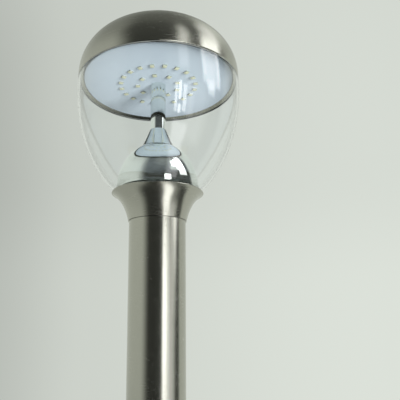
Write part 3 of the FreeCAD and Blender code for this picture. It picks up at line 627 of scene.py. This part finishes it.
# %% Outline of the globe
GLOBE_RADIUS = 88.15 * MM
GLOBE_WAIST = SEAM + 141.3 * MM
GLOBE_WALL = 2.5 * MM
GLOBE_STEPS = 64
AT_MOUTH = 0.01 * MM


def globe_outline():
    """Points (radius, height) round the shell's wall: up its outside and down its inside."""
    bottom, top = (corner[2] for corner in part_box("globe"))
    spots = [nodes["globe"].matrix_world @ v.co for v in nodes["globe"].data.vertices]
    mouth = max(math.hypot(p.x, p.y) for p in spots if p.z < bottom + AT_MOUTH)
    depth = (GLOBE_WAIST - bottom) / math.sqrt(1 - (mouth / GLOBE_RADIUS) ** 2)
    outline = []
    for inset, order in ((0.0, 1), (GLOBE_WALL, -1)):
        wide, tall = GLOBE_RADIUS - inset, depth - inset
        first, last = (math.asin((z - GLOBE_WAIST) / tall) for z in (bottom, top))
        angles = [first + (last - first) * k / GLOBE_STEPS for k in range(GLOBE_STEPS + 1)]
        outline += [(wide * math.cos(a), GLOBE_WAIST + tall * math.sin(a)) for a in angles][::order]
    return outline


print("points round the globe's wall:", len(globe_outline()))

# %% Clear globe
GLOBE_SIDES = 256
SHARP_FROM = math.radians(40)
CLEAR = {"Base Color": from_bytes(254, 255, 255), "Transmission Weight": 1.0, "IOR": 1.46}
DUST = {"scale": 90.0, "detail": 3.0}
DUSTY_FROM = (0.6, 0.85)
DUST_ROUGHNESS = 0.04


def clear_shell():
    material, shader, place = new_finish("clear_shell", CLEAR)
    feed(shader, "Roughness", rise(noise(place, **DUST), *DUSTY_FROM) * DUST_ROUGHNESS)
    return material


def turned(name, outline, sides):
    """Mesh turned about the post's axis from a closed outline of (radius, height) points."""
    count = len(outline)
    spots = []
    faces = []
    for s in range(sides):
        angle = 2 * math.pi * s / sides
        spots += [(r * math.cos(angle), r * math.sin(angle), z) for r, z in outline]
        here, there = s * count, (s + 1) % sides * count
        for k in range(count):
            after = (k + 1) % count
            faces.append((here + k, there + k, there + after, here + after))
    mesh = bpy.data.meshes.new(name)
    mesh.from_pydata(spots, [], faces)
    mesh.polygons.foreach_set("use_smooth", [True] * len(faces))
    mesh.set_sharp_from_angle(angle=SHARP_FROM)
    return mesh


globe = bpy.data.objects.new("fine_globe", turned("fine_globe", globe_outline(), GLOBE_SIDES))
bpy.context.collection.objects.link(globe)
globe.data.materials.append(clear_shell())
globe.visible_shadow = False
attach(globe, "head")
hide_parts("globe")
print("globe turned with", len(globe.data.polygons), "faces")

# %% [markdown]
# ## White plate
# The plate in the cap's mouth is a flat painted disc that carries the light chips and throws their light down. Satin
# paint has a soft orange-peel surface, so a little bump and a slow change of gloss stand for it. The blue cast of its
# white is painted light: it stands for the cool light from the windows.

# %% White plate
# Painted light: both whites have a blue cast that stands for the cool window light on the plate.
PLATE_WHITE = from_bytes(226, 241, 251)
PLATE_SHADE = from_bytes(218, 235, 247)
PEEL = {"scale": 700.0, "detail": 2.0}
PEEL_BUMP = 0.05
PEEL_DEPTH = 0.2 * MM
DRIFT = {"scale": 40.0, "detail": 2.0}
DRIFT_ROUGHNESS = 0.1


def satin_paint(name, light, shade, roughness):
    """Smooth finish between two near colours, with the fine skin of paint, rubber or a moulding."""
    material, shader, place = new_finish(name, {})
    peel = noise(place, **PEEL)
    drift = noise(place, **DRIFT)
    feed(shader, "Base Color", blend(drift, shade, light))
    feed(shader, "Roughness", roughness + swing(drift, DRIFT_ROUGHNESS))
    feed(shader, "Normal", bump(peel, PEEL_BUMP, PEEL_DEPTH))
    return material


dress(satin_paint("plate_paint", PLATE_WHITE, PLATE_SHADE, roughness=0.3), "led_plate")
print("plate painted")

# %% [markdown]
# ## Light chips: shape
# Each chip is a moulded housing with a pale face, a round pool of yellow phosphor in the face and a tinned foot at
# each end. The packed model has a plain block for it. A cube with rounded edges makes the housing and the feet, and a
# shallow dome of rings makes the pool. They are built in code, because 29 of them have to be alike.

# %% Rounded block
EDGE_STEPS = 2
EDGE_ROUND = 0.5


def add_block(mesh, size, centre, finish, edge):
    """Block with rounded edges."""
    made = bmesh.ops.create_cube(mesh, size=1.0)["verts"]
    bmesh.ops.scale(mesh, vec=size, verts=made)
    bmesh.ops.translate(mesh, vec=centre, verts=made)
    edges = list(dict.fromkeys(e for v in made for e in v.link_edges))
    faces = list(dict.fromkeys(f for v in made for f in v.link_faces))
    for face in faces:
        face.material_index = finish
    rounded = bmesh.ops.bevel(mesh, geom=edges, offset=edge, segments=EDGE_STEPS, affect="EDGES", profile=EDGE_ROUND)
    for face in rounded["faces"]:
        face.material_index = finish


print("edges rounded in", EDGE_STEPS, "steps")

# %% Pool of phosphor
POOL_RADIUS = 1.95 * MM
POOL_RISE = 0.15 * MM
POOL_RINGS = 4
POOL_SIDES = 24
HOUSING, POOL, FOOT, FACE = range(4)


def add_pool(mesh, base):
    """Shallow dome that hangs from the height given by base."""
    angles = [2 * math.pi * s / POOL_SIDES for s in range(POOL_SIDES)]
    rings = []
    for k in range(POOL_RINGS):
        share = 1 - k / POOL_RINGS
        reach, level = POOL_RADIUS * share, base - POOL_RISE * (1 - share * share)
        rings.append([mesh.verts.new((reach * math.cos(a), reach * math.sin(a), level)) for a in angles])
    tip = mesh.verts.new((0, 0, base - POOL_RISE))
    for s in range(POOL_SIDES):
        after = (s + 1) % POOL_SIDES
        patches = [(wide[after], wide[s], narrow[s], narrow[after]) for wide, narrow in zip(rings, rings[1:])]
        for corners in patches + [(rings[-1][after], rings[-1][s], tip)]:
            face = mesh.faces.new(corners)
            face.material_index = POOL
            face.smooth = True


print("faces of a pool:", POOL_RINGS * POOL_SIDES)

# %% One light chip
CHIP_LENGTH = 5.0 * MM
CHIP_WIDTH = 5.0 * MM
CHIP_EDGE = 0.18 * MM
LOWER_THAN_BLOCK = 0.4 * MM
FOOT_WIDTH = 0.8 * CHIP_WIDTH
FOOT_LENGTH = 0.3 * MM
FOOT_HEIGHT = 0.5 * MM
FOOT_EDGE = CHIP_EDGE / 3
POOL_SUNK = 0.02 * POOL_RISE
FACING_DOWN = -0.9


def one_chip(top, bottom):
    """One chip under the plate, centred on the axis, its light side down, in the height of its packed block."""
    mesh = bmesh.new()
    housing = (CHIP_WIDTH, CHIP_LENGTH - 2 * FOOT_LENGTH, top - bottom - LOWER_THAN_BLOCK)
    add_block(mesh, housing, (0, 0, top - housing[2] / 2), HOUSING, CHIP_EDGE)
    mesh.normal_update()
    # Faces that don't face down get the painted shade of the housing's sides.
    for face in mesh.faces:
        face.material_index = FACE if face.normal.z < FACING_DOWN else HOUSING
    add_pool(mesh, top - housing[2] + POOL_SUNK)
    foot = (FOOT_WIDTH, FOOT_LENGTH, FOOT_HEIGHT)
    for end in (-1, 1):
        spot = (0, end * (CHIP_LENGTH - FOOT_LENGTH) / 2, top - FOOT_HEIGHT / 2)
        add_block(mesh, foot, spot, FOOT, FOOT_EDGE)
    return mesh


print("chip", round(CHIP_LENGTH / MM, 2), "by", round(CHIP_WIDTH / MM, 2), "mm")

# %% [markdown]
# ## Light chips: rings
# The chips sit on two circles, 20 on the outer and 9 on the inner one. An array modifier could set them out, but it
# would stay on the piece. A loop places copies of one chip in one mesh, so each ring is one piece, as it is one node
# in the packed model. The pale face and the yellow pool matter most at this size.

# %% Rings of light chips
OUTER_CHIPS = {"count": 20, "circle": 41.3 * MM, "first": -81.0}
INNER_CHIPS = {"count": 9, "circle": 22.5 * MM, "first": -100.0}
# Painted shade: the housing's sides take a grey far darker than its pale face, so that sides lit by the lamp don't
# come out white.
SIDE_SHADE = from_bytes(138, 147, 134)
SIDE_SHADE_DARK = from_bytes(129, 138, 124)
PHOSPHOR = from_bytes(232, 236, 194)
PHOSPHOR_PALE = from_bytes(242, 245, 214)
TIN = from_bytes(196, 198, 200)
TIN_DULL = from_bytes(172, 174, 176)
FACE_PALE = from_bytes(232, 237, 214)
FACE_SHADE = from_bytes(223, 229, 203)


def ring_mesh(name, chip, layout):
    """Copies of one chip on a circle, as one mesh."""
    single = bpy.data.meshes.new(name + "_one")
    chip.to_mesh(single)
    chip.free()
    out_there = Matrix.Translation((layout["circle"], 0, 0))
    whole = bmesh.new()
    for k in range(layout["count"]):
        start = len(whole.verts)
        whole.from_mesh(single)
        whole.verts.ensure_lookup_table()
        round_axis = Matrix.Rotation(math.radians(layout["first"] + 360 * k / layout["count"]), 4, "Z")
        bmesh.ops.transform(whole, matrix=round_axis @ out_there, verts=whole.verts[start:])
    mesh = bpy.data.meshes.new(name)
    whole.to_mesh(mesh)
    whole.free()
    bpy.data.meshes.remove(single)
    return mesh


def chip_ring(name, node, layout, materials):
    low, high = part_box(node)
    mesh = ring_mesh(name, one_chip(high[2], low[2]), layout)
    for material in materials:
        mesh.materials.append(material)
    ring = bpy.data.objects.new(name, mesh)
    bpy.context.collection.objects.link(ring)
    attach(ring, "cap")
    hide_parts(node)
    return ring


# In the order of the finish numbers of one chip.
chip_finishes = [satin_paint("chip_side_shade", SIDE_SHADE, SIDE_SHADE_DARK, roughness=0.45),
                 satin_paint("phosphor", PHOSPHOR_PALE, PHOSPHOR, roughness=0.35),
                 satin_paint("tinned_foot", TIN, TIN_DULL, roughness=0.3),
                 satin_paint("chip_face", FACE_PALE, FACE_SHADE, roughness=0.4)]
outer_chips = chip_ring("outer_chips", "led_chips_outer", OUTER_CHIPS, chip_finishes)
inner_chips = chip_ring("inner_chips", "led_chips_inner", INNER_CHIPS, chip_finishes)
print("faces on the rings:", len(outer_chips.data.polygons), "and", len(inner_chips.data.polygons))

# %% [markdown]
# ## Plated fixings
# What the head and the post hide still shows when the cap or the head is lifted off. Shelf, spigot, tie rod, screws,
# washers and nuts are plated steel. The packed model has their shapes right, so they only need a finish. Plating has
# a fine spangle, for which small cells do better than noise alone, and a haze of handling over it.

# %% Plated fixings
PLATED = from_bytes(196, 200, 206)
PLATED_DULL = from_bytes(168, 172, 178)
PLATED_ROUGHNESS = 0.32
SPANGLE_SCALE = 260.0
HAZE = {"scale": 80.0, "detail": 3.0}
HAZE_SHARE = 0.6
HAZE_ROUGHNESS = 0.2


def plated_steel():
    material, shader, place = new_finish("plated_steel", {"Metallic": 1.0})
    spangle = place.node("ShaderNodeTexVoronoi", {"feature": "F1"}, {"Vector": place, "Scale": SPANGLE_SCALE})
    haze = noise(place, **HAZE)
    feed(shader, "Base Color", blend(haze * HAZE_SHARE + spangle * (1 - HAZE_SHARE), PLATED_DULL, PLATED))
    feed(shader, "Roughness", PLATED_ROUGHNESS + swing(haze, HAZE_ROUGHNESS))
    return material


plated = plated_steel()
dress(plated, "terminal_shelf", "socket_clamp_screws", "socket_fixing_screws", "earth_screw", "set_screw_left",
      "set_screw_right", "spigot", "seat_plate", "spacer_tube", "lower_washer", "lower_nut", "cap_bridge",
      "hub_spacer", "plate_standoffs", "plate_screws", "tie_rod", "upper_washer", "upper_nut", "driver_screws")
print("plating on", plated.users, "pieces")

# %% [markdown]
# ## Rubber, seal and mouldings
# The grommet, the lower gasket and the leads have black rubber skins, the upper gasket is a grey seal, and the
# driver's case, the plug and the sockets are white mouldings. Each could have a shader of its own. Their skins differ
# mostly in colour and gloss, so they share the satin finish of the plate with their own numbers.

# %% Rubber, seal and mouldings
RUBBER = from_bytes(34, 34, 33)
RUBBER_BLOOM = from_bytes(50, 50, 48)
SEAL = from_bytes(104, 108, 105)
SEAL_SHADE = from_bytes(90, 94, 91)
MOULDING = from_bytes(226, 226, 220)
MOULDING_SHADE = from_bytes(214, 214, 207)

dress(satin_paint("black_rubber", RUBBER_BLOOM, RUBBER, roughness=0.7),
      "cable_grommet", "lower_gasket", "mains_lead", "led_lead")
dress(satin_paint("seal_rubber", SEAL, SEAL_SHADE, roughness=0.5), "upper_gasket")
dress(satin_paint("white_moulding", MOULDING, MOULDING_SHADE, roughness=0.42),
      "driver_case", "driver_lid", "led_connector", "supply_socket", "lead_plug")
print("rubber, seal and mouldings dressed")

# %% [markdown]
# ## Driver board and its parts
# The driver in the cap turns mains into the chips' low voltage. Its board is green with solder mask, its transformer
# is wound with yellow tape, and its capacitors have dark blue sleeves. All of it sits in the closed case, so the
# packed shapes stay, and the satin finish in the usual colours is enough.

# %% Driver board and its parts
MASK_GREEN = from_bytes(30, 92, 56)
MASK_SHADE = from_bytes(22, 74, 44)
COIL_TAPE = from_bytes(214, 182, 62)
COIL_SHADE = from_bytes(196, 162, 48)
SLEEVE_BLUE = from_bytes(40, 54, 104)
SLEEVE_SHADE = from_bytes(32, 44, 88)

dress(satin_paint("board_mask", MASK_GREEN, MASK_SHADE, roughness=0.35), "driver_board")
dress(satin_paint("coil_tape", COIL_TAPE, COIL_SHADE, roughness=0.4), "driver_transformer")
dress(satin_paint("can_sleeve", SLEEVE_BLUE, SLEEVE_SHADE, roughness=0.3), "driver_capacitors")
print("driver parts dressed")

# %% [markdown]
